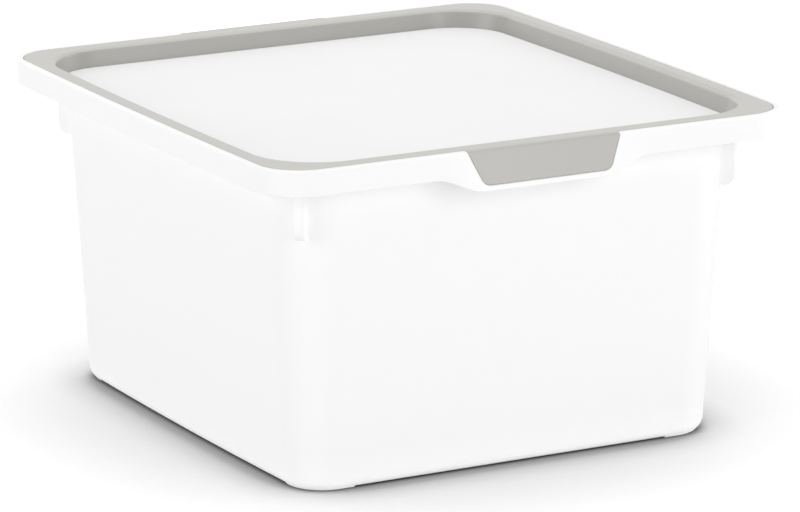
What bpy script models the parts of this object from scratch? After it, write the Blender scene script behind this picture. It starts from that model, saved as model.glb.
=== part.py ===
"""Square storage box with a framed drop-in lid and two flip tabs.

The tub, the lid's grey frame, the white panel set into that frame, and the two tabs that fold over
the tub's rim are separate pieces. Metres, +Z up, the front tab towards -Y, and the origin on the
floor under the middle of the box.
"""

import math

import bmesh
import bpy
from mathutils import Vector

# Fits
FIT_GAP = 0.0003
LID_GAP = 0.0003
POCKET_GAP = 0.0004
OVERRUN = 0.010

# Lid frame, whose outline the whole box follows
FRAME_WIDTH = 0.350
FRAME_DEPTH = 0.373
SIDE_BOW = 0.0018
FRAME_CORNER_RADIUS = 0.026
FRAME_EDGE_RADIUS = 0.0008
FRAME_TOP_WIDTH = 0.0102
FRAME_END_TOP_WIDTH = 0.0126
FRAME_OPENING_RADIUS = 0.0415
FRAME_SHOULDER_RADIUS = 0.0035
FRAME_FOOT_INSET = 0.0146
FRAME_WALL = 0.0018
SEAT_WIDTH = 0.006
SEAT_THICKNESS = 0.0008

# Lid panel
PANEL_DROP = 0.0115
PANEL_THICKNESS = 0.0012
RIB_HEIGHT = 0.004
RIB_WIDTH = 0.0015
RIB_BORDER = 0.0008
RIB_FIELDS_ACROSS = 3
RIB_FIELDS_DEEP = 3

# Tub
TUB_HEIGHT = 0.206
TUB_WALL = 0.002
LIP_THICKNESS = 0.0037
LIP_EDGE_RADIUS = 0.0014
LEDGE_THICKNESS = 0.0012
SKIRT_HANG = 0.0003
RIM_TO_WALL = 0.0225
RIM_TO_BASE_WALL = 0.0336
WALL_CORNER_RADIUS = 0.041
UNDER_LEDGE_RADIUS = 0.003
MOUTH_RADIUS = 0.0015
BASE_EDGE_RADIUS = 0.0055
FLOOR_RADIUS = 0.004
FLOOR_THICKNESS = 0.0022

# Finger grips, where the lip hangs lower and leans out
GRIP_DROP = 0.0084
GRIP_LEAN = math.radians(14.0)
GRIP_HALF_FLAT = 0.043
GRIP_HALF_LENGTH = 0.072

# Corner lugs under the ledge
LUG_WIDTH = 0.008
LUG_PROJECTION = 0.0078
LUG_LENGTH = 0.034
LUG_END_RADIUS = 0.007

# Corner feet
FOOT_HEIGHT = 0.0008
FOOT_INSET = 0.002
FOOT_WIDTH = 0.009
FOOT_REACH = 0.040
FOOT_SIDE_REACH = 0.031

# Tabs
TAB_TOP_WIDTH = 0.104
TAB_BOTTOM_WIDTH = 0.0856
TAB_HEIGHT = 0.0205
TAB_THICKNESS = 0.0018
TAB_RECESS = 0.0003
TAB_CORNER_RADIUS = 0.0065
TAB_FOLD_RADIUS = 0.0012

# Fineness of the curves
CORNER_STEPS = 8
SIDE_STEPS = 6
EDGE_STEPS = 3
GRIP_STEPS = 6

# Worked out from the sizes above
FRAME_HALF_X = FRAME_WIDTH / 2
FRAME_HALF_Y = FRAME_DEPTH / 2
RIM_OUTSET = LID_GAP + LIP_THICKNESS
RIM_HALF_X = FRAME_HALF_X + RIM_OUTSET
RIM_HALF_Y = FRAME_HALF_Y + RIM_OUTSET
RIM_CENTRE = FRAME_CORNER_RADIUS + RIM_OUTSET
WALL_CENTRE = RIM_TO_WALL + WALL_CORNER_RADIUS
WALL_CENTRE_X = RIM_HALF_X - SIDE_BOW - WALL_CENTRE
WALL_CENTRE_Y = RIM_HALF_Y - WALL_CENTRE
OPENING_CENTRE = FRAME_TOP_WIDTH + FRAME_OPENING_RADIUS
RIB_CENTRE = WALL_CENTRE - RIM_OUTSET
SEAT_DROP = PANEL_DROP + PANEL_THICKNESS + FIT_GAP
FRAME_LEG_DROP = SEAT_DROP + SEAT_THICKNESS
LEDGE_DROP = FRAME_LEG_DROP + FIT_GAP
SKIRT_DROP = LEDGE_DROP + LEDGE_THICKNESS + SKIRT_HANG
FRAME_SLOPE = (FRAME_FOOT_INSET - FRAME_TOP_WIDTH) / PANEL_DROP
FRAME_SLOPE_ANGLE = math.atan(FRAME_SLOPE)
TAB_SIDE_SLOPE = (TAB_TOP_WIDTH - TAB_BOTTOM_WIDTH) / 2 / TAB_HEIGHT


def arc(centre_x, centre_y, radius, start, end, steps):
    """Points of an arc in a plane, angles in degrees."""
    angles = [math.radians(start + (end - start) * k / steps) for k in range(steps + 1)]
    return [(centre_x + radius * math.cos(a), centre_y + radius * math.sin(a)) for a in angles]


def grip_share(x):
    """1 over the flat middle of a grip, falling smoothly to 0 at its two ends."""
    share = (GRIP_HALF_LENGTH - abs(x)) / (GRIP_HALF_LENGTH - GRIP_HALF_FLAT)
    share = min(max(share, 0.0), 1.0)
    return share * share * (3 - 2 * share)


def rectangle_ring(half_x, half_y, setback, centre, z):
    """A rounded rectangle set back from the given half sizes, whose left and right sides bow out."""
    radius = centre - setback
    across, deep = half_x - SIDE_BOW - centre, half_y - centre
    side = []
    for k in range(1, SIDE_STEPS):
        share = 2 * k / SIDE_STEPS - 1
        side.append((across + radius + SIDE_BOW * (1 - share * share), share * deep))
    right = arc(across, -deep, radius, -90, 0, CORNER_STEPS) + side
    right += arc(across, deep, radius, 0, 90, CORNER_STEPS)
    return [(x, y, z) for x, y in right] + [(-x, -y, z) for x, y in right]


def frame_ring(setback, centre, drop):
    """A ring of the lid, set back from the frame's outer edge and dropped from its top."""
    return rectangle_ring(FRAME_HALF_X, FRAME_HALF_Y, setback, centre, TUB_HEIGHT - drop)


def opening_ring(setback, drop):
    """A ring of the lid's sloping wall; the flat top over it is wider at the front and rear."""
    extra = (FRAME_END_TOP_WIDTH - FRAME_TOP_WIDTH) * (1 - drop / PANEL_DROP)
    return rectangle_ring(FRAME_HALF_X, FRAME_HALF_Y - extra, setback, OPENING_CENTRE, TUB_HEIGHT - drop)


def tub_ring(setback, centre, z, lean_drop=0.0, down=0.0):
    """A ring of the tub, with stations across both grips, where it leans out and hangs lower."""
    ring = rectangle_ring(RIM_HALF_X, RIM_HALF_Y, setback, centre, z)
    step = (GRIP_HALF_LENGTH - GRIP_HALF_FLAT) / GRIP_STEPS
    half = [GRIP_HALF_FLAT + step * k for k in range(GRIP_STEPS + 1)]
    stations = [-x for x in reversed(half)] + half
    side = []
    for x in stations:
        share = grip_share(x)
        out = (lean_drop + down) * math.tan(GRIP_LEAN) * share
        side.append((x, RIM_HALF_Y - setback + out, z - down * share))
    rear = [(-x, y, height) for x, y, height in side]
    front = [(x, -y, height) for x, y, height in side]
    right = len(ring) // 2
    return ring[:right] + rear + ring[right:] + front


def loft(mesh, rings, closed):
    """Joins rings of equal count into a skin; an open run of rings is capped at both ends."""
    rows = [[mesh.verts.new(point) for point in ring] for ring in rings]
    pairs = list(zip(rows, rows[1:] + rows[:1])) if closed else list(zip(rows, rows[1:]))
    for lower, upper in pairs:
        count = len(lower)
        for k in range(count):
            after = (k + 1) % count
            mesh.faces.new((lower[k], lower[after], upper[after], upper[k]))
    if not closed:
        mesh.faces.new(rows[0])
        mesh.faces.new(rows[-1])


def prism(mesh, outline, place, depth):
    """Extrudes a plane outline by depth; place turns an outline point into a point in space."""
    face = mesh.faces.new([mesh.verts.new(place(*point)) for point in outline])
    extruded = bmesh.ops.extrude_face_region(mesh, geom=[face])
    moved = [item for item in extruded["geom"] if isinstance(item, bmesh.types.BMVert)]
    bmesh.ops.translate(mesh, vec=depth, verts=moved)


def plastic(name, colour, roughness):
    """A moulded plastic finish; colour is linear."""
    made = bpy.data.materials.new(name)
    made.use_nodes = True
    shader = made.node_tree.nodes["Principled BSDF"]
    shader.inputs["Base Color"].default_value = (*colour, 1.0)
    shader.inputs["Roughness"].default_value = roughness
    shader.inputs["Metallic"].default_value = 0.0
    made.diffuse_color = (*colour, 1.0)
    return made


def add_object(name, mesh, group, finish=None):
    """Turns a bmesh into an object of the group, facing outwards."""
    bmesh.ops.recalc_face_normals(mesh, faces=mesh.faces)
    data = bpy.data.meshes.new(name)
    mesh.to_mesh(data)
    mesh.free()
    made = bpy.data.objects.new(name, data)
    group.objects.link(made)
    if finish:
        data.materials.append(finish)
        data.shade_smooth()
        data.set_sharp_from_angle(angle=math.radians(30))
    else:
        made.hide_render = True
        made.display_type = "WIRE"
    return made


def combine(target, tool, operation):
    """Adds a Boolean of the tool to the target."""
    step = target.modifiers.new(f"{operation.lower()} {tool.name}", "BOOLEAN")
    step.object = tool
    step.operation = operation
    step.solver = "EXACT"


def tub_rings():
    """Rings from the middle of the floor up the inside, over the lip and down the outside to the base."""
    top = TUB_HEIGHT
    ledge_top = top - LEDGE_DROP
    ledge_under = ledge_top - LEDGE_THICKNESS
    floor = FOOT_HEIGHT + FLOOR_THICKNESS
    taper = (RIM_TO_BASE_WALL - RIM_TO_WALL) / (ledge_under - FOOT_HEIGHT)

    def wall(z):
        return RIM_TO_WALL + (ledge_under - z) * taper

    rings = []
    floor_edge = wall(floor) + TUB_WALL + FLOOR_RADIUS
    for x, z in arc(floor_edge, floor + FLOOR_RADIUS, FLOOR_RADIUS, 270, 180, EDGE_STEPS):
        rings.append(tub_ring(x, WALL_CENTRE, z))
    mouth = wall(ledge_top) + TUB_WALL - MOUTH_RADIUS
    for x, z in arc(mouth, ledge_top - MOUTH_RADIUS, MOUTH_RADIUS, 0, 90, EDGE_STEPS):
        rings.append(tub_ring(x, WALL_CENTRE, z))
    rings.append(tub_ring(LIP_THICKNESS, RIM_CENTRE, ledge_top, lean_drop=LEDGE_DROP))
    inner_edge = LIP_EDGE_RADIUS / 2
    for x, z in arc(LIP_THICKNESS - inner_edge, top - inner_edge, inner_edge, 0, 90, EDGE_STEPS):
        rings.append(tub_ring(x, RIM_CENTRE, z, lean_drop=top - z))
    for x, z in arc(LIP_EDGE_RADIUS, top - LIP_EDGE_RADIUS, LIP_EDGE_RADIUS, 90, 180, EDGE_STEPS):
        rings.append(tub_ring(x, RIM_CENTRE, z, lean_drop=top - z))
    skirt = top - SKIRT_DROP
    edge = SKIRT_HANG / 2
    for x, z in arc(edge, skirt + edge, edge, 180, 270, EDGE_STEPS):
        rings.append(tub_ring(x, RIM_CENTRE, z, lean_drop=top - z, down=GRIP_DROP))
    rings.append(tub_ring(LIP_THICKNESS, RIM_CENTRE, skirt, lean_drop=SKIRT_DROP, down=GRIP_DROP))
    rings.append(tub_ring(LIP_THICKNESS, RIM_CENTRE, ledge_under, lean_drop=top - ledge_under))
    under = RIM_TO_WALL - UNDER_LEDGE_RADIUS
    for x, z in arc(under, ledge_under - UNDER_LEDGE_RADIUS, UNDER_LEDGE_RADIUS, 90, 0, EDGE_STEPS):
        rings.append(tub_ring(x, WALL_CENTRE, z))
    base_edge = wall(FOOT_HEIGHT) + BASE_EDGE_RADIUS
    for x, z in arc(base_edge, FOOT_HEIGHT + BASE_EDGE_RADIUS, BASE_EDGE_RADIUS, 180, 270, EDGE_STEPS + 1):
        rings.append(tub_ring(x, WALL_CENTRE, z))
    return rings


def add_lugs(mesh):
    """Four upright lugs under the ledge, one standing out along each corner's diagonal."""
    ledge_under = TUB_HEIGHT - LEDGE_DROP - LEDGE_THICKNESS
    bottom = ledge_under - LUG_LENGTH
    taper = (RIM_TO_BASE_WALL - RIM_TO_WALL) / (ledge_under - FOOT_HEIGHT)
    face = WALL_CORNER_RADIUS + LUG_PROJECTION
    inner_top = WALL_CORNER_RADIUS - TUB_WALL / 2
    inner_bottom = inner_top - LUG_LENGTH * taper
    top = ledge_under + LEDGE_THICKNESS / 2
    end = arc(face - LUG_END_RADIUS, bottom + LUG_END_RADIUS, LUG_END_RADIUS, 0, -90, 2 * EDGE_STEPS)
    outline = [(inner_top, top), (face, top)] + end + [(inner_bottom, bottom)]
    for sign_x in (1, -1):
        for sign_y in (1, -1):
            centre = Vector((sign_x * WALL_CENTRE_X, sign_y * WALL_CENTRE_Y, 0))
            outward = Vector((sign_x, sign_y, 0)).normalized()
            sideways = outward.cross(Vector((0, 0, 1)))
            start = centre - sideways * LUG_WIDTH / 2

            def place(radial, z):
                return start + outward * radial + Vector((0, 0, z))

            prism(mesh, outline, place, sideways * LUG_WIDTH)


def add_feet(mesh):
    """Four low feet, each a bent strip that follows a corner of the base."""
    setback = RIM_TO_BASE_WALL + FOOT_INSET
    outer = WALL_CENTRE - setback
    inner = outer - FOOT_WIDTH
    leg = RIM_TO_BASE_WALL + FOOT_REACH - WALL_CENTRE
    side_leg = RIM_TO_BASE_WALL + FOOT_SIDE_REACH - WALL_CENTRE
    outline = [(-leg, outer)] + arc(0, 0, outer, 90, 0, CORNER_STEPS) + [(outer, -side_leg)]
    outline += [(inner, -side_leg)] + arc(0, 0, inner, 0, 90, CORNER_STEPS) + [(-leg, inner)]
    for sign_x in (1, -1):
        for sign_y in (1, -1):

            def place(x, y):
                return Vector((sign_x * (WALL_CENTRE_X + x), sign_y * (WALL_CENTRE_Y + y), 0))

            prism(mesh, outline, place, Vector((0, 0, FOOT_HEIGHT + FLOOR_THICKNESS / 2)))


def tab_face(drop):
    """How far a tab's outer face stands out from the frame's edge at a drop below its top."""
    return RIM_OUTSET - TAB_RECESS + drop * math.tan(GRIP_LEAN)


def tab_outline(gap):
    """The tab seen from the front as (x, height over the hinge), grown by a gap: wide at the top."""
    bottom = TAB_HEIGHT + gap
    grown = gap * math.hypot(1, TAB_SIDE_SLOPE)

    def half(drop):
        return TAB_TOP_WIDTH / 2 - TAB_SIDE_SLOPE * drop + grown

    radius = TAB_CORNER_RADIUS + gap
    side_angle = math.degrees(math.atan(TAB_SIDE_SLOPE))
    tangent = radius * math.tan(math.radians(90 - side_angle) / 2)
    centre = half(bottom) - tangent
    corner = arc(centre, radius - bottom, radius, -side_angle, -90, 2 * EDGE_STEPS)
    right = [(half(-OVERRUN), OVERRUN)] + corner
    return right + [(-x, z) for x, z in reversed(right)]


def build_tub(group, cutters):
    """The white tub: walls, ledge, lip with two grips, corner lugs and feet, and the pockets for the tabs."""
    mesh = bmesh.new()
    loft(mesh, tub_rings(), closed=False)
    tub = add_object("tub", mesh, group, plastic("white polypropylene tub", (0.90, 0.90, 0.90), 0.45))
    mesh = bmesh.new()
    add_lugs(mesh)
    add_feet(mesh)
    combine(tub, add_object("tub_lugs_and_feet", mesh, cutters), "UNION")
    back = TAB_THICKNESS + FIT_GAP
    under = TAB_THICKNESS + FIT_GAP
    bottom = TAB_HEIGHT + OVERRUN
    lean_back = back / math.cos(GRIP_LEAN)
    section = [
        (-OVERRUN, -under),
        (tab_face(under) - lean_back, -under),
        (tab_face(bottom) - lean_back, -bottom),
        (tab_face(bottom) + OVERRUN, -bottom),
        (tab_face(bottom) + OVERRUN, OVERRUN / 2),
        (-OVERRUN, OVERRUN / 2),
    ]
    for name, turn in (("front", 0.0), ("rear", math.pi)):
        pocket = add_pocket(f"{name}_tab_pocket", section, POCKET_GAP, cutters)
        pocket.location = (0, -FRAME_HALF_Y if name == "front" else FRAME_HALF_Y, TUB_HEIGHT)
        pocket.rotation_euler = (0, 0, turn)
        combine(tub, pocket, "DIFFERENCE")
    return tub


def add_pocket(name, section, gap, cutters):
    """A section across the rim, carried along X and trimmed to the tab's outline from the front."""
    half = TAB_TOP_WIDTH / 2 + OVERRUN
    mesh = bmesh.new()
    prism(mesh, section, lambda out, z: Vector((-half, -out, z)), Vector((2 * half, 0, 0)))
    made = add_object(name, mesh, cutters)
    far = 3 * OVERRUN
    mesh = bmesh.new()
    prism(mesh, tab_outline(gap), lambda x, z: Vector((x, far, z)), Vector((0, -2 * far, 0)))
    outline = add_object(f"{name}_outline", mesh, cutters)
    outline.parent = made
    combine(made, outline, "INTERSECT")
    return made


def build_frame(group):
    """The grey ring: flat top, rounded shoulder, sloping wall, a seat for the panel and an outer leg."""
    slope = 90 - math.degrees(FRAME_SLOPE_ANGLE)
    tangent = FRAME_SHOULDER_RADIUS * math.tan(math.radians(slope) / 2)
    shoulder = arc(
        FRAME_TOP_WIDTH - tangent,
        -FRAME_SHOULDER_RADIUS,
        FRAME_SHOULDER_RADIUS,
        90,
        90 - slope,
        2 * EDGE_STEPS,
    )
    wall_under = FRAME_WALL / math.cos(FRAME_SLOPE_ANGLE)
    inside = FRAME_FOOT_INSET - wall_under
    rings = [frame_ring(0.0, FRAME_CORNER_RADIUS, FRAME_LEG_DROP)]
    edge = FRAME_EDGE_RADIUS
    for x, z in arc(edge, -edge, edge, 180, 90, EDGE_STEPS - 1):
        rings.append(frame_ring(x, FRAME_CORNER_RADIUS, -z))
    for x, z in shoulder:
        rings.append(opening_ring(x, -z))
    rings.append(opening_ring(FRAME_FOOT_INSET, PANEL_DROP))
    rings.append(frame_ring(FRAME_FOOT_INSET, OPENING_CENTRE, SEAT_DROP))
    rings.append(frame_ring(FRAME_FOOT_INSET + SEAT_WIDTH, OPENING_CENTRE, SEAT_DROP))
    rings.append(frame_ring(FRAME_FOOT_INSET + SEAT_WIDTH, OPENING_CENTRE, FRAME_LEG_DROP))
    rings.append(frame_ring(inside, OPENING_CENTRE, FRAME_LEG_DROP))
    rings.append(frame_ring(inside, OPENING_CENTRE, PANEL_DROP))
    under_top = FRAME_TOP_WIDTH + FRAME_SLOPE * FRAME_WALL - wall_under
    rings.append(opening_ring(under_top, FRAME_WALL))
    rings.append(frame_ring(FRAME_WALL, FRAME_CORNER_RADIUS, FRAME_WALL))
    rings.append(frame_ring(FRAME_WALL, FRAME_CORNER_RADIUS, FRAME_LEG_DROP))
    mesh = bmesh.new()
    loft(mesh, rings, closed=True)
    grey = plastic("grey polypropylene frame", (0.60, 0.59, 0.56), 0.5)
    return add_object("lid_frame", mesh, group, grey)


def build_panel(group, cutters):
    """The white panel: a plate let into the frame, with a grid of ribs under it inside the seat."""
    setback = FRAME_FOOT_INSET + FIT_GAP
    rib_setback = FRAME_FOOT_INSET + SEAT_WIDTH + RIB_BORDER
    under = PANEL_DROP + PANEL_THICKNESS
    mesh = bmesh.new()
    loft(
        mesh,
        [
            frame_ring(setback, OPENING_CENTRE, PANEL_DROP),
            frame_ring(setback, OPENING_CENTRE, under),
            frame_ring(rib_setback, RIB_CENTRE, under),
            frame_ring(rib_setback, RIB_CENTRE, under + RIB_HEIGHT),
        ],
        closed=False,
    )
    white = plastic("white polypropylene panel", (0.88, 0.88, 0.88), 0.45)
    panel = add_object("lid_panel", mesh, group, white)
    half_x = FRAME_HALF_X - SIDE_BOW - rib_setback - RIB_WIDTH
    half_y = FRAME_HALF_Y - rib_setback - RIB_WIDTH
    field_x = (2 * half_x - (RIB_FIELDS_ACROSS - 1) * RIB_WIDTH) / RIB_FIELDS_ACROSS
    field_y = (2 * half_y - (RIB_FIELDS_DEEP - 1) * RIB_WIDTH) / RIB_FIELDS_DEEP
    corner = RIB_CENTRE - rib_setback - RIB_WIDTH
    top = TUB_HEIGHT - under
    mesh = bmesh.new()
    for column in range(RIB_FIELDS_ACROSS):
        for row in range(RIB_FIELDS_DEEP):
            left = -half_x + column * (field_x + RIB_WIDTH)
            front = -half_y + row * (field_y + RIB_WIDTH)
            outline = []
            for x, y, start in (
                (left + field_x, front, -90),
                (left + field_x, front + field_y, 0),
                (left, front + field_y, 90),
                (left, front, 180),
            ):
                outer = abs(abs(x) - half_x) < FIT_GAP and abs(abs(y) - half_y) < FIT_GAP
                radius = corner if outer else RIB_WIDTH
                toward_x = x - math.copysign(radius, x - left - field_x / 2)
                toward_y = y - math.copysign(radius, y - front - field_y / 2)
                outline += arc(toward_x, toward_y, radius, start, start + 90, CORNER_STEPS if outer else 2)
            prism(mesh, outline, lambda px, py: Vector((px, py, top)), Vector((0, 0, -RIB_HEIGHT - OVERRUN)))
    combine(panel, add_object("panel_rib_fields", mesh, cutters), "DIFFERENCE")
    return panel


def build_tab(name, turn, group, cutters):
    """A grey tab: a short plate over the lip, folded down over its grip; its origin is on the film hinge."""
    lean = math.tan(GRIP_LEAN)
    fold = tab_face(0.0)
    turn_down = 90 - math.degrees(GRIP_LEAN)
    tangent = TAB_FOLD_RADIUS * math.tan(math.radians(turn_down) / 2)
    radius = TAB_FOLD_RADIUS
    bend = arc(fold - tangent, -radius, radius, 90, 90 - turn_down, EDGE_STEPS)
    inner = TAB_THICKNESS / math.cos(GRIP_LEAN)
    section = [(LID_GAP, 0.0)] + bend
    section += [(tab_face(TAB_HEIGHT), -TAB_HEIGHT), (tab_face(TAB_HEIGHT) - inner, -TAB_HEIGHT)]
    section += [(fold + TAB_THICKNESS * lean - inner, -TAB_THICKNESS), (LID_GAP, -TAB_THICKNESS)]
    hinge = LID_GAP / 2
    half = TAB_TOP_WIDTH / 2 + OVERRUN
    mesh = bmesh.new()
    prism(mesh, section, lambda out, z: Vector((-half, hinge - out, z)), Vector((2 * half, 0, 0)))
    tab = add_object(name, mesh, group, plastic(f"grey polypropylene {name}", (0.60, 0.59, 0.56), 0.5))
    far = 3 * OVERRUN
    mesh = bmesh.new()
    prism(mesh, tab_outline(0.0), lambda x, z: Vector((x, far, z)), Vector((0, -2 * far, 0)))
    outline = add_object(f"{name}_outline", mesh, cutters)
    outline.parent = tab
    combine(tab, outline, "INTERSECT")
    side = -1 if turn == 0 else 1
    tab.location = (0, side * (FRAME_HALF_Y + hinge), TUB_HEIGHT)
    tab.rotation_euler = (0, 0, turn)
    return tab


def build():
    """Clears the scene and makes the box."""
    for old in list(bpy.data.objects):
        bpy.data.objects.remove(old)
    group = bpy.data.collections.new("storage_box")
    cutters = bpy.data.collections.new("cutters")
    cutters.hide_render = True
    for made in (group, cutters):
        bpy.context.scene.collection.children.link(made)
    build_tub(group, cutters)
    lid = bpy.data.objects.new("lid", None)
    group.objects.link(lid)
    build_frame(group).parent = lid
    build_panel(group, cutters).parent = lid
    build_tab("front_tab", 0.0, group, cutters).parent = lid
    build_tab("rear_tab", math.pi, group, cutters).parent = lid


build()
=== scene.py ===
"""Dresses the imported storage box: white tub, grey lid frame, white lid panel and two grey tabs."""

import math

import bmesh
import bpy
import numpy as np
from mathutils import Matrix, Vector


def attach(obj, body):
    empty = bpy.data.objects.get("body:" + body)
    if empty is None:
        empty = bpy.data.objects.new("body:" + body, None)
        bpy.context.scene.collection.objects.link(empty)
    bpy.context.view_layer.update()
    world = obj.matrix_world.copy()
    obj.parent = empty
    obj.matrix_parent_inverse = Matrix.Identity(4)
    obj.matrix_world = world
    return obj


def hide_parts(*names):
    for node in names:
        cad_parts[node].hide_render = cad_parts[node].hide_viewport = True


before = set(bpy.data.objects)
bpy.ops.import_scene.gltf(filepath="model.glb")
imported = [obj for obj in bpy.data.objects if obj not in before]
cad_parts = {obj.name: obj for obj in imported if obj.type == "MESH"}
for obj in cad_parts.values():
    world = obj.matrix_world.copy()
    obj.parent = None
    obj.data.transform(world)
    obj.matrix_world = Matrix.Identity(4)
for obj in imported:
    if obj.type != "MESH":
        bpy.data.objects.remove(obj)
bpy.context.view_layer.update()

# The camera stands to the front left of the box and looks a little down on it, from far enough away
# that the edges running back hardly close up, as a catalogue photograph is taken.
CAMERA_PLACE = (-1.5098, -2.7881, 0.9091)
CAMERA_TURN = math.radians(28.54)
CAMERA_TILT = math.radians(14.42)
CAMERA_ROLL = math.radians(0.05)
CAMERA_LENS = 235.84

camera = bpy.data.objects.new("studio_camera", bpy.data.cameras.new("studio_camera"))
camera.data.lens = CAMERA_LENS
camera.matrix_world = (
    Matrix.Translation(CAMERA_PLACE)
    @ Matrix.Rotation(-CAMERA_TURN, 4, "Z")
    @ Matrix.Rotation(math.pi / 2 - CAMERA_TILT, 4, "X")
    @ Matrix.Rotation(-CAMERA_ROLL, 4, "Z")
)
bpy.context.scene.collection.objects.link(camera)
bpy.context.scene.camera = camera
bpy.context.scene.view_settings.view_transform = "Standard"


# The studio, in metres: white paper on the floor, a large soft lamp overhead and four lower ones
# round the box. What the camera and the glossy plastic see round the box is plain white.
FLOOR_HALF = 6.0
FLOOR_WHITE = "#ffffff"
FLOOR_BOUNCE = "#f0f0f0"
FLOOR_LIT = 0.5
FLOOR_GLOW = 0.72

# How brightly the paper is drawn, as painted shadow, for the share of the sky that a place sees: as
# a curve for what stands within the first reach, and as a ramp from a low share to a high one for
# the second.
CONTACT_REACH = 0.035
CONTACT_SHADE = (
    (0.0, 0.02),
    (0.25, 0.19),
    (0.4, 0.36),
    (0.53, 0.48),
    (0.6, 0.65),
    (0.67, 0.8),
    (0.8, 0.89),
    (0.9, 0.95),
    (1.0, 0.985),
)
SHADOW_REACH = 0.3
SHADOW_SHADE = (0.42, 0.97, 0.63, 1.0)
WORLD_WHITE = 0.59

# Each lamp's place, the point it faces, its width in metres and its power in watts.
LAMPS = {
    "overhead_lamp": ((0.1, 0.4, 1.75), (0.0, 0.0, 0.1), 1.6, 8.3),
    "left_lamp": ((-2.8, 0.0, 0.9), (0.0, 0.0, 0.1), 1.6, 22.8),
    "front_lamp": ((0.65, -2.85, 0.9), (0.0, 0.0, 0.1), 1.6, 26.5),
    "right_lamp": ((2.8, -0.5, 0.9), (0.0, 0.0, 0.1), 1.6, 13.5),
    "rear_lamp": ((-0.6, 2.8, 0.9), (0.0, 0.0, 0.1), 1.6, 10.0),
}


def linear(code):
    """An sRGB hex colour as the linear numbers that a shader takes."""
    shares = [int(code[k : k + 2], 16) / 255 for k in (1, 3, 5)]
    return (*(s / 12.92 if s <= 0.04045 else ((s + 0.055) / 1.055) ** 2.4 for s in shares), 1.0)


def add(tree, kind, inputs=None, **settings):
    """Adds a node with its settings. An input is a plain value or another node's output."""
    made = tree.nodes.new(kind)
    for name, value in settings.items():
        setattr(made, name, value)
    for name, value in (inputs or {}).items():
        if isinstance(value, bpy.types.NodeSocket):
            tree.links.new(value, made.inputs[name])
        else:
            made.inputs[name].default_value = value
    return made


def new_material(name):
    """A material by its name, and its node tree with nothing in it."""
    made = bpy.data.materials.new(name)
    made.use_nodes = True
    made.node_tree.nodes.clear()
    return made, made.node_tree


floor_mesh = bpy.data.meshes.new("studio_floor")
floor_corners = np.array([[-1, -1, 0], [1, -1, 0], [1, 1, 0], [-1, 1, 0]]) * FLOOR_HALF
floor_mesh.from_pydata(floor_corners.tolist(), [], [(0, 1, 2, 3)])
studio_floor = bpy.data.objects.new("studio_floor", floor_mesh)
bpy.context.scene.collection.objects.link(studio_floor)

# Material: smooth uncoated white paper. The eye gets an even white, with a painted shadow round the
# box: a tight dark line where the box nearly touches it and a wide faint shade round that, both
# drawn from how much of the sky a place sees. The camera sees the paper partly lit and partly
# glowing, while the box gets the light of plain lit paper.
paper, tree = new_material("smooth white paper")
rays = add(tree, "ShaderNodeLightPath")
near = add(tree, "ShaderNodeAmbientOcclusion", {"Distance": CONTACT_REACH}, samples=16)
contact = add(tree, "ShaderNodeFloatCurve", {"Value": near.outputs["AO"]})
for place in CONTACT_SHADE[1:-1]:
    contact.mapping.curves[0].points.new(*place)
contact.mapping.curves[0].points[0].location = CONTACT_SHADE[0]
contact.mapping.curves[0].points[-1].location = CONTACT_SHADE[-1]
contact.mapping.update()
far = add(tree, "ShaderNodeAmbientOcclusion", {"Distance": SHADOW_REACH}, samples=16)
low, high, low_shade, high_shade = SHADOW_SHADE
ramp = {0: far.outputs["AO"], 1: low, 2: high, 3: low_shade, 4: high_shade}
soft = add(tree, "ShaderNodeMapRange", ramp)
both = {0: contact.outputs[0], 1: soft.outputs[0]}
shade = add(tree, "ShaderNodeMath", both, operation="MULTIPLY")
white = {0: linear(FLOOR_WHITE)[:3], "Scale": shade.outputs[0]}
shaded = add(tree, "ShaderNodeVectorMath", white, operation="SCALE")
part = {0: shaded.outputs[0], "Scale": FLOOR_LIT}
dimmed = add(tree, "ShaderNodeVectorMath", part, operation="SCALE")
lit = add(tree, "ShaderNodeBsdfDiffuse", {"Color": dimmed.outputs[0]})
glow = add(tree, "ShaderNodeEmission", {"Color": shaded.outputs[0], "Strength": FLOOR_GLOW})
seen = add(tree, "ShaderNodeAddShader", {0: lit.outputs[0], 1: glow.outputs[0]})
bounced = add(tree, "ShaderNodeBsdfDiffuse", {"Color": linear(FLOOR_BOUNCE)})
to_camera = rays.outputs["Is Camera Ray"]
either = add(tree, "ShaderNodeMixShader", {0: to_camera, 1: bounced.outputs[0], 2: seen.outputs[0]})
add(tree, "ShaderNodeOutputMaterial", {"Surface": either.outputs[0]})
floor_mesh.materials.append(paper)

world = bpy.data.worlds.new("studio_world")
bpy.context.scene.world = world
world.use_nodes = True
tree = world.node_tree
tree.nodes.clear()
rays = add(tree, "ShaderNodeLightPath")
direct = {0: rays.outputs["Is Camera Ray"], 1: rays.outputs["Is Glossy Ray"]}
seen = add(tree, "ShaderNodeMath", direct, operation="MAXIMUM")
direct = {0: seen.outputs[0], 1: rays.outputs["Is Transmission Ray"]}
seen = add(tree, "ShaderNodeMath", direct, operation="MAXIMUM")
strength = add(tree, "ShaderNodeMix", {0: seen.outputs[0], 2: WORLD_WHITE, 3: 1.0})
white = {"Color": linear(FLOOR_WHITE), "Strength": strength.outputs[0]}
sky = add(tree, "ShaderNodeBackground", white)
add(tree, "ShaderNodeOutputWorld", {"Surface": sky.outputs[0]})

for name, (place, target, size, power) in LAMPS.items():
    lamp = bpy.data.lights.new(name, "AREA")
    lamp.size = size
    lamp.energy = power
    lamp_object = bpy.data.objects.new(name, lamp)
    turn = (Vector(place) - Vector(target)).to_track_quat("Z", "Y")
    lamp_object.matrix_world = Matrix.Translation(place) @ turn.to_matrix().to_4x4()
    bpy.context.scene.collection.objects.link(lamp_object)


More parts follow.
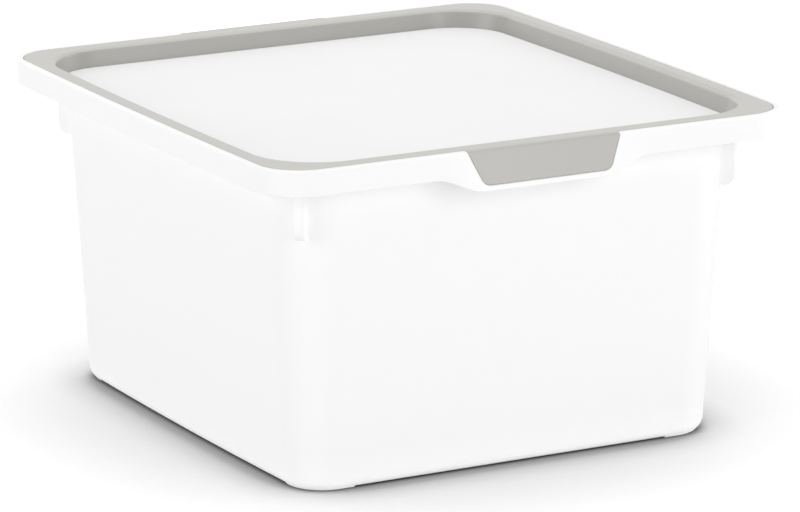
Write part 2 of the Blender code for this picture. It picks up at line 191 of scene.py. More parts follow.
# The tub: one injection moulding in white polypropylene. Its rim stands up as a thick lip round a
# ledge that carries the lid, hangs lower at the two grips, and has a pocket there for each tab.
# Sizes are in millimetres. Insets count in from the rim's outer edge, drops down from its top.
MM = 0.001
BOX_HEIGHT = 206.0
LID_HALF = (175.0, 186.5)
SIDE_BOW = 1.8
LID_GAP = 0.3
LIP = 3.7
RIM_HALF = (LID_HALF[0] + LID_GAP + LIP, LID_HALF[1] + LID_GAP + LIP)
LID_CORNER = 26.0
RIM_CENTRE = LID_CORNER + LID_GAP + LIP
LIP_INNER_ROUND = 0.7
LIP_OUTER_ROUND = 1.4
SKIRT_ROUND = 0.6
LEDGE_TOP = 14.1
LEDGE_UNDER = 15.3
SKIRT_END = 15.6
WALL_TOP_INSET = 21.4
WALL_BASE_INSET = 33.1
WALL_CORNER = 38.5
WALL_CENTRE = WALL_TOP_INSET + WALL_CORNER
WALL = 2.0
UNDER_LEDGE_ROUND = 3.0
MOUTH_ROUND = 1.5
BASE_ROUND = 6.5
FLOOR_ROUND = 4.0
FLOOR = 2.2
GRIP_HANG = 8.4
GRIP_LEAN = math.tan(math.radians(14.0))
GRIP_FLAT = 43.0
GRIP_END = 72.0
LUG_HALF = 3.25
LUG_OUT = 7.8
LUG_LENGTH = 34.0
LUG_END_ROUND = 7.0
LUG_TOP_ROUND = 1.5
LUG_EDGE = 0.6
FOOT = 0.4
FOOT_TURN = math.radians(42.0)
FOOT_EDGE = 0.3
FOOT_WIDTH = 9.0
FOOT_REACH = 36.0
FOOT_SIDE_REACH = 28.0
TAB_TOP = 52.0
TAB_BOTTOM = 42.8
TAB_HEIGHT = 20.5
TAB_CORNER = 6.5
TAB_THICKNESS = 1.8
TAB_RECESS = 0.3
POCKET_GAP = 0.25
POCKET_FIT = 0.3
POCKET_EDGE = 0.35
POCKET_ROUND = 0.3
GRIP_FACE_END = 22.4
SKIRT_CHAMFER = (0.3, 0.1)

WALL_TAPER = (WALL_BASE_INSET - WALL_TOP_INSET) / (BOX_HEIGHT - LEDGE_UNDER - FOOT)
TAB_SLOPE = (TAB_TOP - TAB_BOTTOM) / TAB_HEIGHT
NOT_HERE = (math.nan, math.nan)


def arc(x, y, radius, start, end, steps):
    """Points of an arc: x plus radius times cosine and y minus radius times sine, in degrees."""
    angle = np.radians(np.linspace(start, end, steps + 1))
    return x + radius * np.cos(angle), y - radius * np.sin(angle)


def grip_share(x):
    """1 over a grip's flat middle and 0 past its ends, joined by 3 s squared less 2 s cubed."""
    s = np.clip((GRIP_END - abs(x)) / (GRIP_END - GRIP_FLAT), 0.0, 1.0)
    return s * s * (3 - 2 * s)


def tab_half(drop, grow):
    """Half a tab's width, grown by a margin: a straight taper, then a rounded lower corner."""
    side = math.atan(TAB_SLOPE)
    radius = TAB_CORNER + grow
    bottom = TAB_HEIGHT + grow
    straight = TAB_TOP + grow * math.hypot(1, TAB_SLOPE)
    centre = straight - TAB_SLOPE * bottom - radius * math.tan((math.pi / 2 - side) / 2)
    down = np.clip(drop, 0.0, bottom) - (bottom - radius)
    rounded = centre + np.sqrt(np.clip(radius**2 - down**2, 0.0, None))
    tapered = straight - TAB_SLOPE * np.clip(drop, 0.0, bottom)
    return np.where(down < radius * math.sin(side), tapered, rounded)


def tab_face(drop):
    """How far a tab's outer face stands out from the lid's edge at a drop below its top."""
    return LID_GAP + LIP - TAB_RECESS + drop * GRIP_LEAN


def profile(setback, drop, centre, lean=0.0, hang=0.0, scale=1.0, **elsewhere):
    """Rows of the tub's profile: places on the plain wall, and in a pocket, lug or foot."""
    names = ("pocket", "lug", "foot")
    places = [value for name in names for value in elsewhere.get(name, NOT_HERE)]
    values = np.broadcast_arrays(setback, drop, centre, lean, hang, scale, *places)
    return np.stack(values, -1).reshape(-1, len(values))


def wall_inset(drop):
    """The tapered outer wall's distance in from the rim's outer edge."""
    return WALL_TOP_INSET + (drop - LEDGE_UNDER) * WALL_TAPER


def mirrored(quarter):
    """A whole ring from the quarter between the middles of the front and of the right side."""
    turns = ((1, 1, 1), (1, -1, 1), (-1, -1, 1), (-1, 1, 1))
    parts = [quarter * np.array(t) for t in turns]
    parts = [part[:, ::-1] if k % 2 else part for k, part in enumerate(parts)]
    ring = np.concatenate([part[:, :-1] for part in parts], axis=1)
    return np.concatenate([ring, ring[:, :1]], axis=1)


# Points nearer than this, in metres, are one. An edge that turns more than this is drawn sharp.
SAME_POINT = 2e-6
SHARP_TURN = math.radians(55)


def skin(name, grids, body, node, material):
    """One piece from grids of points in millimetres, joined by quads, meeting points merged."""
    points, quads, first = [], [], 0
    for grid in grids:
        rows, columns = grid.shape[:2]
        number = first + np.arange(rows * columns).reshape(rows, columns)
        round_quad = [number[:-1, :-1], number[:-1, 1:], number[1:, 1:], number[1:, :-1]]
        quads.append(np.stack(round_quad, -1).reshape(-1, 4))
        points.append(grid.reshape(-1, 3))
        first += rows * columns
    mesh = bpy.data.meshes.new(name)
    mesh.from_pydata((np.concatenate(points) * MM).tolist(), [], np.concatenate(quads).tolist())
    work = bmesh.new()
    work.from_mesh(mesh)
    bmesh.ops.remove_doubles(work, verts=work.verts, dist=SAME_POINT)
    bmesh.ops.dissolve_degenerate(work, edges=work.edges, dist=SAME_POINT / 2)
    bmesh.ops.recalc_face_normals(work, faces=work.faces)
    work.to_mesh(mesh)
    work.free()
    mesh.materials.append(material)
    mesh.shade_smooth()
    mesh.set_sharp_from_angle(angle=SHARP_TURN)
    made = bpy.data.objects.new(name, mesh)
    bpy.context.scene.collection.objects.link(made)
    made.modifiers.new("flat faces stay flat", "WEIGHTED_NORMAL").keep_sharp = True
    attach(made, body)
    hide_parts(node)
    return made


# Profile of the tub, from the middle of its floor up the inside, over the lip and down to the base.
floor_drop = BOX_HEIGHT - FOOT - FLOOR
floor_edge = wall_inset(floor_drop) + WALL + FLOOR_ROUND
floor_arc = arc(floor_edge, floor_drop - FLOOR_ROUND, FLOOR_ROUND, 270, 180, 8)
inside_drop = np.linspace(floor_drop - FLOOR_ROUND, LEDGE_TOP + MOUTH_ROUND, 9)[1:-1]
mouth_x = wall_inset(LEDGE_TOP) + WALL - MOUTH_ROUND
mouth_arc = arc(mouth_x, LEDGE_TOP + MOUTH_ROUND, MOUTH_ROUND, 0, 90, 6)
lip_drop = [LEDGE_TOP, 8.0, 4.5, 3.0]
inner_arc = arc(LIP - LIP_INNER_ROUND, LIP_INNER_ROUND, LIP_INNER_ROUND, 0, 90, 4)
outer_arc = arc(LIP_OUTER_ROUND, LIP_OUTER_ROUND, LIP_OUTER_ROUND, 90, 180, 6)

# The pocket: its floor under the tab's plate, and its back behind the tab's face.
pocket_floor = TAB_THICKNESS + POCKET_FIT
pocket_depth = pocket_floor * math.hypot(1, GRIP_LEAN)
pocket_end = TAB_HEIGHT + POCKET_GAP
pocket_centre = TAB_HEIGHT - TAB_CORNER
inner_out = LID_GAP + pocket_floor * GRIP_LEAN + POCKET_ROUND
outer_out = tab_face(pocket_floor) - pocket_depth - POCKET_ROUND
pocket_inner = arc(inner_out, pocket_floor + POCKET_ROUND, POCKET_ROUND, 180, 90, 4)
pocket_outer = arc(outer_out, pocket_floor + POCKET_ROUND, POCKET_ROUND, 90, 0, 6)

# The grip's face, in rows that follow the outline of the pocket sunk into it.
side_drop = np.array([3.4, 5.0, 7.0, 9.0, 11.0, 13.0, 15.0])
turn = np.radians(np.linspace(math.degrees(math.atan(TAB_SLOPE)), 90, 9))
corner_drop = pocket_centre + (TAB_CORNER + POCKET_GAP) * np.sin(turn)
below_pocket = [pocket_end, pocket_end + POCKET_EDGE, GRIP_FACE_END]
face_drop = np.concatenate([side_drop, corner_drop, below_pocket])
back_out = tab_face(face_drop) - pocket_depth
back_out[-3] = tab_face(pocket_end) - POCKET_EDGE
back_out[-2:] = np.nan
back_drop = np.minimum(face_drop, pocket_end)
back_drop[-2:] = np.nan
full_face = SKIRT_END + GRIP_HANG
hang_share = (face_drop - LIP_OUTER_ROUND) / (full_face - SKIRT_ROUND - LIP_OUTER_ROUND)
face_v = LIP_OUTER_ROUND + hang_share * (SKIRT_END - SKIRT_ROUND - LIP_OUTER_ROUND)
face_hang = GRIP_HANG * hang_share
skirt_arc = arc(SKIRT_ROUND, SKIRT_END - SKIRT_ROUND, SKIRT_ROUND, 180, 270, 4)
skirt_end = ([LIP - SKIRT_CHAMFER[0], LIP], [SKIRT_END, SKIRT_END - SKIRT_CHAMFER[1]])

# The round under the ledge, and the lugs, whose rows stand beside rows of the plain wall.
fillet_x, fillet_y = WALL_TOP_INSET - UNDER_LEDGE_ROUND, LEDGE_UNDER + UNDER_LEDGE_ROUND
fillet_arc = arc(fillet_x, fillet_y, UNDER_LEDGE_ROUND, 90, 0, 6)
lug_face = WALL_CORNER + LUG_OUT
lug_top_arc = arc(lug_face + LUG_TOP_ROUND, LEDGE_UNDER + LUG_TOP_ROUND, LUG_TOP_ROUND, 90, 180, 6)
lug_end = LEDGE_UNDER + LUG_LENGTH
lug_arc = arc(lug_face - LUG_END_ROUND, lug_end - LUG_END_ROUND, LUG_END_ROUND, 0, -90, 10)
above_lug = np.array([20.0, 26.0, 32.0, 38.0])
beside_end = lug_end - LUG_END_ROUND + LUG_END_ROUND * np.arange(11) / 11.5
below_lug = np.linspace(lug_end, BOX_HEIGHT - FOOT - BASE_ROUND, 9)

# The round at the base. The feet leave it partway down, slope to the floor and end in a flat sole.
base_edge = WALL_BASE_INSET + BASE_ROUND
base_centre = BOX_HEIGHT - FOOT - BASE_ROUND
base_arc = arc(base_edge, base_centre, BASE_ROUND, 180, 180 + math.degrees(FOOT_TURN), 5)
rest_arc = arc(base_edge, base_centre, BASE_ROUND, 180 + math.degrees(FOOT_TURN), 270, 6)
foot_leave = rest_arc[0][0]
foot_rise = BOX_HEIGHT - rest_arc[1][0]
foot_edge = foot_leave + foot_rise * math.tan(FOOT_TURN)
foot_z = np.array([foot_rise, 2.0, FOOT_EDGE, 0, 0, 0, 0])
sole = np.array([0, 0, 0, FOOT_EDGE, 3.0, 6.0, FOOT_WIDTH])
foot_out = foot_edge - foot_z * math.tan(FOOT_TURN) + sole
shrink = np.array([1.0, 0.7, 0.35, 0.0])

tub_rows = np.vstack(
    [
        profile(floor_edge, floor_drop, WALL_CENTRE, scale=shrink[:0:-1]),
        profile(*floor_arc, WALL_CENTRE),
        profile(wall_inset(inside_drop) + WALL, inside_drop, WALL_CENTRE),
        profile(*mouth_arc, WALL_CENTRE),
        profile(LIP, lip_drop, RIM_CENTRE, lean=lip_drop),
        profile(*inner_arc, RIM_CENTRE, lean=inner_arc[1], pocket=pocket_inner),
        profile(*outer_arc, RIM_CENTRE, lean=outer_arc[1], pocket=pocket_outer),
        profile(0.0, face_v, RIM_CENTRE, lean=face_v, hang=face_hang, pocket=(back_out, back_drop)),
        profile(*skirt_arc, RIM_CENTRE, lean=skirt_arc[1], hang=GRIP_HANG),
        profile(*skirt_end, RIM_CENTRE, lean=SKIRT_END, hang=GRIP_HANG),
        profile(LIP, LEDGE_UNDER, RIM_CENTRE, lean=LEDGE_UNDER),
        profile(*fillet_arc, WALL_CENTRE, lug=lug_top_arc),
        profile(wall_inset(above_lug), above_lug, WALL_CENTRE, lug=(lug_face, above_lug)),
        profile(wall_inset(beside_end), beside_end, WALL_CENTRE, lug=lug_arc),
        profile(wall_inset(below_lug), below_lug, WALL_CENTRE),
        profile(*base_arc, WALL_CENTRE),
        profile(*rest_arc, WALL_CENTRE, foot=(foot_out, BOX_HEIGHT - foot_z)),
        profile(foot_edge + FOOT_WIDTH, BOX_HEIGHT - FOOT, WALL_CENTRE),
        profile(foot_edge + FOOT_WIDTH, BOX_HEIGHT - FOOT, WALL_CENTRE, scale=shrink[1:]),
    ]
)
setback, drop, centre, lean, hang, scale = tub_rows.T[:6, :, None]
p_out, p_drop, l_out, l_drop, f_out, f_drop = tub_rows.T[6:, :, None]


def front_side(x):
    """The front of each row, which the grip's share leans out and hangs lower."""
    share = grip_share(x)
    out = (lean + hang) * GRIP_LEAN * share
    y = -(RIM_HALF[1] - setback + out)
    return np.stack(np.broadcast_arrays(x, y, BOX_HEIGHT - drop - hang * share), -1)


def right_side(y):
    """The right side of each row, which bows out by the square of its place along the side."""
    x = RIM_HALF[0] - setback - SIDE_BOW * (y / deep) ** 2
    return np.stack(np.broadcast_arrays(x, -y, BOX_HEIGHT - drop), -1)


def pocket_edge_x(grow):
    """Where a pocket's outline crosses each row, found three times over as the drop follows it."""
    x = tab_half(drop + hang, grow)
    for _ in range(3):
        x = tab_half(drop + hang * grip_share(x), grow)
    return x


def corner_point(outward, sideways, height):
    """A point by its distance out along the corner's diagonal and its distance beside that."""
    half = math.sqrt(0.5)
    x = across + (outward + sideways) * half
    y = -deep + (sideways - outward) * half
    return np.stack(np.broadcast_arrays(x, y, height), -1)


# Each row is carried round a quarter of the tub in columns: pocket, grip, front, corner and side.
across = RIM_HALF[0] - SIDE_BOW - centre
deep = RIM_HALF[1] - centre
in_pocket = ~np.isnan(p_out)
in_lug = ~np.isnan(l_out)
on_foot = ~np.isnan(f_out)

s = np.linspace(0, 1, 8)
sunk_x = tab_half(np.nan_to_num(p_drop), POCKET_GAP)
inside_x = np.where(in_pocket, sunk_x, pocket_edge_x(POCKET_GAP)) * s
recessed = np.stack(np.broadcast_arrays(inside_x, -(LID_HALF[1] + p_out), BOX_HEIGHT - p_drop), -1)
inside = np.where(in_pocket[..., None], recessed, front_side(inside_x))
brim = front_side(pocket_edge_x(POCKET_GAP))
depth = np.linalg.norm(inside[:, -1:] - brim, axis=-1, keepdims=True)
brim_step = brim + (inside[:, -1:] - brim) * np.minimum(1.0, POCKET_EDGE / np.maximum(depth, 1e-9))
brim_x = pocket_edge_x(POCKET_GAP + POCKET_EDGE)
grip_x = brim_x + (GRIP_END - brim_x) * np.linspace(0, 1, 19)
foot_leg = WALL_BASE_INSET + FOOT_REACH - WALL_CENTRE
plain_x = GRIP_END + (across - foot_leg - GRIP_END) * np.linspace(0, 1, 6)[1:]
leg_x = across - foot_leg * np.linspace(1, 0, 3)
side_leg = WALL_BASE_INSET + FOOT_SIDE_REACH - WALL_CENTRE
side_y = (deep - side_leg) * np.linspace(1, 0, 9)
front_columns = [inside, brim_step, front_side(grip_x), front_side(plain_x)]
side_columns = right_side(side_y)

setback = np.where(on_foot, f_out, setback)
drop = np.where(on_foot, f_drop, drop)
radius = centre - setback
level = BOX_HEIGHT - drop

lug_angle = np.arcsin(np.minimum(LUG_HALF / radius, 1.0))
first_arc = -math.pi / 2 + (math.pi / 4 - lug_angle) * np.linspace(0, 1, 13)[1:]
lug_side = np.array([LUG_HALF / 2, LUG_HALF - LUG_EDGE, LUG_HALF])
sideways = np.concatenate([-lug_side[::-1], [0.0], lug_side])
lug_outward = np.where(abs(sideways) == LUG_HALF, l_out - LUG_EDGE, l_out)
bare_outward = np.sqrt(radius**2 - sideways**2)
lug_outward = np.where(in_lug, lug_outward, bare_outward)
lug = corner_point(lug_outward, sideways, np.where(in_lug, BOX_HEIGHT - l_drop, level))
lug_foot = corner_point(bare_outward[:, [0, -1]], sideways[[0, -1]], level)


def round_corner(angle):
    """A point of the corner's arc by its angle."""
    x, y = across + radius * np.cos(angle), -deep + radius * np.sin(angle)
    return np.stack(np.broadcast_arrays(x, y, level), -1)


corner_columns = [
    front_side(leg_x),
    round_corner(first_arc),
    lug_foot[:, :1],
    lug,
    lug_foot[:, 1:],
    round_corner(-math.pi / 2 - first_arc[:, ::-1]),
    right_side(deep - side_leg * np.linspace(0, 1, 3)),
]
quarter = np.concatenate(front_columns + corner_columns + [side_columns], axis=1)
quarter[..., :2] *= scale[..., None]

# Material: white polypropylene, injection moulded in a spark-eroded tool. The eye gets a slightly
# waxy white with a soft sheen, which breaks up over the grain and over the faint waves that cooling
# leaves. The real grain is about 0.05 mm wide, too fine to show, so it is drawn 0.9 mm wide. The
# waves are drawn at their real length of about 70 mm. The narrow corners get painted light: they are
# drawn a little lighter than the open walls to fill the shade there, as pale plastic in a bright
# studio shows hardly any.
TUB_WHITE = "#f6f6f6"
CREASE_PAINTED_LIGHT = "#fdfdfd"
CREASE_REACH = 25.0 * MM
CREASE_DEEP = 0.45
TUB_ROUGH = 0.44
TUB_SHINE = 0.36
POLYPROPYLENE_IOR = 1.49
GLOSS_SPREAD = 0.06
GRAIN = 0.9 * MM
GRAIN_DEPTH = 0.06 * MM
WAVE = 70.0 * MM
WAVE_DEPTH = 2.0 * MM


def painted_light_openness(tree):
    """0 deep in a narrow corner of the plastic and 1 where no surface stands near; 0 gets the most
    painted light.
    """
    near = add(tree, "ShaderNodeAmbientOcclusion", {"Distance": CREASE_REACH}, samples=8)
    return add(tree, "ShaderNodeMapRange", {0: near.outputs["AO"], 1: CREASE_DEEP}).outputs[0]


def moulded(name, light, dark, rough, shine, share=None):
    """Moulded polypropylene: two tones mixed by a share that paints light and shade, or by cooling's
    waves, and a fine grain.
    """
    made, tree = new_material(name)
    place = add(tree, "ShaderNodeTexCoord").outputs["Object"]
    long_waves = {"Vector": place, "Scale": 1 / WAVE, "Detail": 2.0}
    fine_grain = {"Vector": place, "Scale": 1 / GRAIN, "Detail": 3.0, "Roughness": 0.6}
    waves = add(tree, "ShaderNodeTexNoise", long_waves).outputs[0]
    grain = add(tree, "ShaderNodeTexNoise", fine_grain).outputs[0]
    tones = {0: share(tree) if share else waves, 6: linear(light), 7: linear(dark)}
    gloss = {0: grain, 3: rough - GLOSS_SPREAD, 4: rough + GLOSS_SPREAD}
    waved = {"Height": waves, "Strength": 0.25, "Distance": WAVE_DEPTH}
    low = add(tree, "ShaderNodeBump", waved).outputs[0]
    grained = {"Height": grain, "Strength": 0.15, "Distance": GRAIN_DEPTH, "Normal": low}
    shader = add(
        tree,
        "ShaderNodeBsdfPrincipled",
        {
            "Base Color": add(tree, "ShaderNodeMix", tones, data_type="RGBA").outputs[2],
            "Roughness": add(tree, "ShaderNodeMapRange", gloss).outputs[0],
            "Specular IOR Level": shine,
            "IOR": POLYPROPYLENE_IOR,
            "Normal": add(tree, "ShaderNodeBump", grained).outputs[0],
        },
    )
    add(tree, "ShaderNodeOutputMaterial", {"Surface": shader.outputs[0]})
    return made


# The tub's narrow corners are drawn lighter with painted light, by how open each place is.
white_plastic = moulded(
    "white polypropylene, moulded satin", CREASE_PAINTED_LIGHT, TUB_WHITE, TUB_ROUGH, TUB_SHINE, painted_light_openness
)

skin("tub_moulding", [mirrored(quarter)], "tub", "tub", white_plastic)


# The lid's frame: a ring moulded in warm light grey polypropylene. Its flat top lies level with the
# lip, its inner wall slopes down to a seat under the panel, and its outer leg stands on the ledge.
FRAME_EDGE = 0.8
FRAME_TOP = 10.2
FRAME_END_TOP = 12.6
OPENING_CORNER = 41.5
OPENING_CENTRE = FRAME_TOP + OPENING_CORNER
SHOULDER = 4.1
FRAME_FOOT = 14.6
FRAME_WALL = 1.8
FRAME_END = 13.8
SEAT = 6.0
SEAT_TOP = 13.0
SEAT_TIP = 0.25
PANEL_TOP = 11.5
HINGE_OUT = 0.15
HINGE_FILM = 0.3
SLOPE_ROW = 5.0
FLAT_INSETS = [2.5, 4.5]
FLAT_CENTRES = [34.0, 43.0]
FRAME_TURN = math.atan((FRAME_FOOT - FRAME_TOP) / PANEL_TOP)


def ring_rows(setback, drop, centre, scale=1.0, end=0.0, other=NOT_HERE):
    """Rows of a ring of the lid: how much further in at the ends, and the place at the hinge."""
    values = np.broadcast_arrays(setback, drop, centre, scale, end, *other)
    return np.stack(values, -1).reshape(-1, 7)


def opening_rows(setback, drop):
    """Rows of the frame's sloping wall, over which the flat top is wider at the front and rear."""
    drop = np.asarray(drop)
    end = (FRAME_END_TOP - FRAME_TOP) * (1 - drop / PANEL_TOP)
    return ring_rows(setback, drop, OPENING_CENTRE, end=end)


def lid_ring(rows, hinge_x=()):
    """Rows carried round the lid: the front, about the corner's centre, and the bowed side."""
    setback, drop, centre, scale, end, other_setback, other_drop = rows.T[:, :, None]
    front = LID_HALF[1] - end
    across, deep = LID_HALF[0] - SIDE_BOW - centre, front - centre
    radius, level = centre - setback, BOX_HEIGHT - drop
    hinge_x = np.array(hinge_x)
    start = hinge_x[-1] + POCKET_EDGE if len(hinge_x) else 0.0
    front_x = start + (across - start) * np.linspace(0, 1, 7)
    angle = np.radians(np.linspace(-90, 0, 33))[1:]
    there = ~np.isnan(other_setback)
    hinge_setback = np.where(there, other_setback, setback)
    hinge_level = np.where(there, BOX_HEIGHT - other_drop, level)
    share = np.linspace(1, 0, 9)[1:]
    parts = [
        (hinge_x, hinge_setback - front, hinge_level),
        (front_x, setback - front, level),
        (across + radius * np.cos(angle), -deep + radius * np.sin(angle), level),
        (LID_HALF[0] - setback - SIDE_BOW * share**2, -deep * share, level),
    ]
    columns = [np.stack(np.broadcast_arrays(*part), -1) for part in parts]
    quarter = np.concatenate(columns, axis=1)
    quarter[..., :2] *= scale[..., None]
    return mirrored(quarter)


# Profile of the frame, from the foot of its outer leg over the top, down the opening and up inside.
slope_turn = 90 - math.degrees(FRAME_TURN)
shoulder_x = FRAME_TOP - SHOULDER * math.tan(math.radians(slope_turn) / 2)
under_inset = FRAME_WALL / math.cos(FRAME_TURN)
edge_arc = arc(FRAME_EDGE, FRAME_EDGE, FRAME_EDGE, 180, 90, 6)
film_setback = [0.0, 0.0, 0.0, -HINGE_OUT, -HINGE_OUT, -HINGE_OUT, FRAME_EDGE]
film_drop = [FRAME_EDGE, 0.6, 0.45, HINGE_FILM, HINGE_FILM / 2, 0.0, 0.0]
shoulder_arc = arc(shoulder_x, SHOULDER, SHOULDER, 90, 90 - slope_turn, 10)
slope_inset = [FRAME_FOOT - math.tan(FRAME_TURN) * SLOPE_ROW, FRAME_FOOT]
seat_x = FRAME_FOOT + SEAT
tip_arc = arc(seat_x - SEAT_TIP, SEAT_TOP + SEAT_TIP, SEAT_TIP, 90, 0, 3)
inner_leg = FRAME_FOOT - under_inset
leg_setback = [seat_x, inner_leg, inner_leg]
frame_rows = np.vstack(
    [
        ring_rows(0.0, [FRAME_END, 9.0, 4.0], LID_CORNER),
        ring_rows(*edge_arc, LID_CORNER, other=(film_setback, film_drop)),
        ring_rows(FLAT_INSETS, 0.0, FLAT_CENTRES),
        opening_rows(*shoulder_arc),
        opening_rows(slope_inset, [PANEL_TOP - SLOPE_ROW, PANEL_TOP]),
        ring_rows(FRAME_FOOT, SEAT_TOP, OPENING_CENTRE),
        ring_rows(*tip_arc, OPENING_CENTRE),
        ring_rows(leg_setback, [FRAME_END, FRAME_END, PANEL_TOP], OPENING_CENTRE),
        opening_rows(FRAME_TOP + math.tan(FRAME_TURN) * FRAME_WALL - under_inset, FRAME_WALL),
        ring_rows(FRAME_WALL, [FRAME_WALL, FRAME_END], LID_CORNER),
        ring_rows(0.0, FRAME_END, LID_CORNER),
    ]
)

# Material: the same plastic with a warm grey mixed in, injection moulded. Its colour goes by how
# steeply the surface faces: painted sheen lightens the flat top and painted shade darkens the
# sloping wall, so the wall looks a shade darker than the top.
GREY_TOP_PAINTED_SHEEN = "#bdbbb5"
GREY_WALL_PAINTED_SHADE = "#a2a09c"
FRAME_ROUGH = 0.32
GREY_SHINE = 0.45
STEEP_FROM = 0.72
STEEP_TO = 0.35


def steepness(tree):
    """Painted sheen at 0 where the surface lies flat, painted shade at 1 where it stands up, by its
    facing's height.
    """
    normal = add(tree, "ShaderNodeNewGeometry").outputs["Normal"]
    up = add(tree, "ShaderNodeSeparateXYZ", {0: normal}).outputs["Z"]
    return add(tree, "ShaderNodeMapRange", {0: up, 1: STEEP_FROM, 2: STEEP_TO}).outputs[0]


# Steepness mixes painted sheen on the frame's flat top with painted shade on its sloping wall.
frame_plastic = moulded(
    "grey polypropylene, moulded satin", GREY_TOP_PAINTED_SHEEN, GREY_WALL_PAINTED_SHADE, FRAME_ROUGH, GREY_SHINE, steepness
)
hinge_x = TAB_TOP * np.linspace(0, 1, 6)
frame_grid = lid_ring(frame_rows, hinge_x)
skin("lid_frame_ring", [frame_grid], "lid", "lid_frame", frame_plastic)


# The lid's panel: a flat plate moulded in white polypropylene and let into the frame. Underneath, a
# border rib and two ribs each way keep it from bowing as it cools.
PANEL_GAP = 0.3
PANEL_EDGE = 0.4
PANEL_BORDER = 6.0
PANEL_THICKNESS = 1.2
PANEL_UNDER = PANEL_TOP + PANEL_THICKNESS
RIB = 1.5
RIB_HEIGHT = 4.0
RIB_END = PANEL_UNDER + RIB_HEIGHT
RIB_ROOT = 0.6
RIB_FIELDS = 3
RIB_LAND = 4.0
RIB_MARGIN = 0.8
RIB_SETBACK = FRAME_FOOT + SEAT + RIB_MARGIN
RIB_CENTRE = WALL_CENTRE - LID_GAP - LIP
panel_x = FRAME_FOOT + PANEL_GAP
rim_arc = arc(panel_x + PANEL_EDGE, PANEL_TOP + PANEL_EDGE, PANEL_EDGE, 90, 180, 4)
panel_rows = np.vstack(
    [
        ring_rows(panel_x + PANEL_BORDER, PANEL_TOP, OPENING_CENTRE, scale=[0.0, 0.5, 1.0]),
        ring_rows(*rim_arc, OPENING_CENTRE),
        ring_rows(panel_x, PANEL_UNDER, OPENING_CENTRE),
        ring_rows(RIB_SETBACK, [PANEL_UNDER, RIB_END], RIB_CENTRE),
        ring_rows(RIB_SETBACK + RIB, [RIB_END, PANEL_UNDER], RIB_CENTRE),
        ring_rows(RIB_SETBACK + RIB + RIB_LAND, PANEL_UNDER, RIB_CENTRE, scale=[1.0, 0.5, 0.0]),
    ]
)

# Material: the tub's white polypropylene, injection moulded in a duller tool. The wide plate shows
# an even white with hardly any reflection.
PANEL_WHITE = "#f6f6f6"
PANEL_SHADE = "#f3f3f3"
PANEL_ROUGH = 0.62
PANEL_SHINE = 0.1
panel_plastic = moulded(
    "white polypropylene, moulded matt", PANEL_WHITE, PANEL_SHADE, PANEL_ROUGH, PANEL_SHINE
)
panel_grid = lid_ring(panel_rows)
panel = skin("lid_panel_plate", [panel_grid], "lid", "lid_panel", panel_plastic)

inner = (LID_HALF[0] - SIDE_BOW - RIB_SETBACK - RIB, LID_HALF[1] - RIB_SETBACK - RIB)
rib_height = RIB_HEIGHT + RIB_ROOT
corners = np.array([[x, y, z] for x in (-0.5, 0.5) for y in (-0.5, 0.5) for z in (-0.5, 0.5)])
rib_faces = [(0, 1, 3, 2), (4, 6, 7, 5), (0, 4, 5, 1), (2, 3, 7, 6), (0, 2, 6, 4), (1, 5, 7, 3)]
ribs = []
for axis in (0, 1):
    for side in (-1, 1):
        size = np.array([RIB, RIB, rib_height])
        size[1 - axis] = 2 * inner[1 - axis] + RIB
        place = np.array([0.0, 0.0, BOX_HEIGHT - RIB_END + rib_height / 2])
        place[axis] = side * (inner[axis] - RIB) / RIB_FIELDS + side * RIB / 2
        rib_mesh = bpy.data.meshes.new("rib")
        rib_mesh.from_pydata(((corners * size + place) * MM).tolist(), [], rib_faces)
        ribs.append(bpy.data.objects.new("rib", rib_mesh))
        bpy.context.scene.collection.objects.link(ribs[-1])
        step = panel.modifiers.new("rib", "BOOLEAN")
        step.object = ribs[-1]
        step.operation = "UNION"
        step.solver = "EXACT"

# The ribs are joined on before the normals are weighted, and the panel keeps the joined mesh.
panel.modifiers.move(0, len(ribs))
panel.modifiers[-1].show_viewport = False
ribbed = bpy.data.meshes.new_from_object(panel.evaluated_get(bpy.context.evaluated_depsgraph_get()))
for step in list(panel.modifiers)[:-1]:
    panel.modifiers.remove(step)
panel.modifiers[-1].show_viewport = True
panel.data = ribbed
for rib in ribs:
    bpy.data.objects.remove(rib)


# The tabs: short grey polypropylene plates that bend down over the lip. Each is one moulding with
# the frame, joined by a film 0.3 mm thick level with the frame's top, so no gap shows between them.
FOLD = 2.0
TAB_EDGE = 0.4
TAB_BACK_EDGE = 0.2
TAB_STRAIGHT_END = 15.8
fold_turn = math.pi / 2 - math.atan(GRIP_LEAN)
fold_out = tab_face(0.0) - FOLD * math.tan(fold_turn / 2)
fold_angle = np.linspace(0, fold_turn, 9)
plate_out = np.linspace(HINGE_OUT, fold_out, 4)[:-1]
straight_drop = np.linspace(FOLD * (1 - math.cos(fold_turn)), TAB_STRAIGHT_END, 7)[1:]
side_turn = math.atan(TAB_SLOPE)
corner_turn = np.linspace(side_turn, math.pi / 2, 11)
corner_x = float(tab_half(TAB_HEIGHT, 0.0))


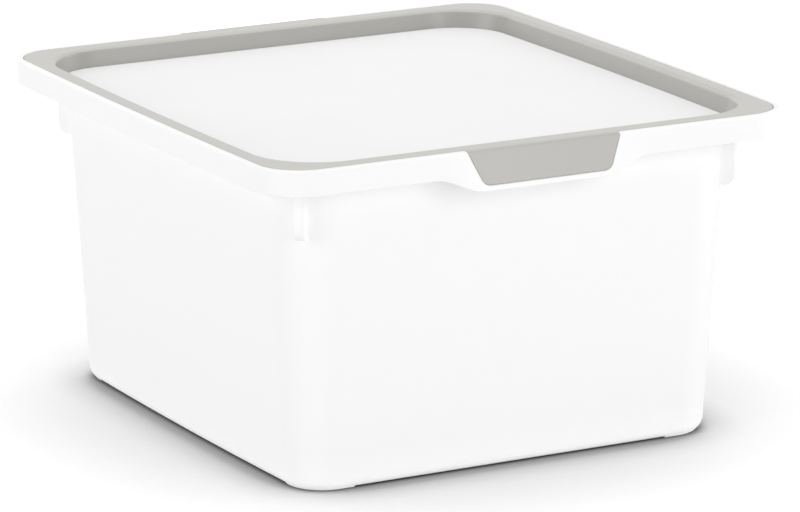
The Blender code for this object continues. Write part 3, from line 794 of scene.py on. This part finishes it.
def tab_sheet(grow, depth):
    """The tab's outer face moved inwards by a depth, on an outline grown by a margin."""
    corner_drop = TAB_HEIGHT - TAB_CORNER + (TAB_CORNER + grow) * np.sin(corner_turn)
    face_drop = np.concatenate([straight_drop, corner_drop])
    drop = np.concatenate([0 * plate_out, FOLD * (1 - np.cos(fold_angle)), face_drop])
    bend = np.concatenate([0 * plate_out, fold_angle, np.full(len(face_drop), fold_turn)])
    out = np.concatenate([plate_out, fold_out + FOLD * np.sin(fold_angle), tab_face(face_drop)])
    half = tab_half(drop, grow)
    half[-len(corner_turn) :] = corner_x + (TAB_CORNER + grow) * np.cos(corner_turn)
    out = out - depth * np.sin(bend)
    out[0] = HINGE_OUT if depth < HINGE_FILM else 2 * HINGE_OUT
    drop = drop + depth * np.cos(bend)
    x = half[:, None] * np.linspace(-1, 1, 17)
    y, z = -(LID_HALF[1] + out)[:, None], (BOX_HEIGHT - drop)[:, None]
    return np.stack(np.broadcast_arrays(x, y, z), -1)


def outline(sheet):
    """The left edge of a sheet from the hinge down, its lower edge, and its right edge back up."""
    return np.concatenate([sheet[:-1, 0], sheet[-1], sheet[-2::-1, -1]])


edge_turn = np.radians(np.linspace(0, 90, 5))
sheets = [tab_sheet(TAB_EDGE * (math.sin(t) - 1), TAB_EDGE * (1 - math.cos(t))) for t in edge_turn]
sheets += [tab_sheet(0.0, TAB_THICKNESS - TAB_BACK_EDGE), tab_sheet(-TAB_BACK_EDGE, TAB_THICKNESS)]
tab_rim = np.stack([outline(sheet) for sheet in sheets])
tab_hinge_edge = np.stack([sheet[0] for sheet in sheets])
tab_grids = [sheets[0], sheets[-1], tab_rim, tab_hinge_edge]

# Material: the frame's grey polypropylene, injection moulded. The tab's face stands upright and its
# tool is a little duller than the frame's top, so it looks an even, slightly darker grey.
GREY_TAB = "#b7b5b1"
GREY_TAB_SHADE = "#b4b2ae"
TAB_ROUGH = 0.36
tab_plastic = moulded(
    "grey polypropylene, moulded eggshell", GREY_TAB, GREY_TAB_SHADE, TAB_ROUGH, GREY_SHINE
)
for name, turn in (("front_tab", 1.0), ("rear_tab", -1.0)):
    grids = [grid * np.array([turn, turn, 1.0]) for grid in tab_grids]
    skin(name + "_plate", grids, name, name, tab_plastic)
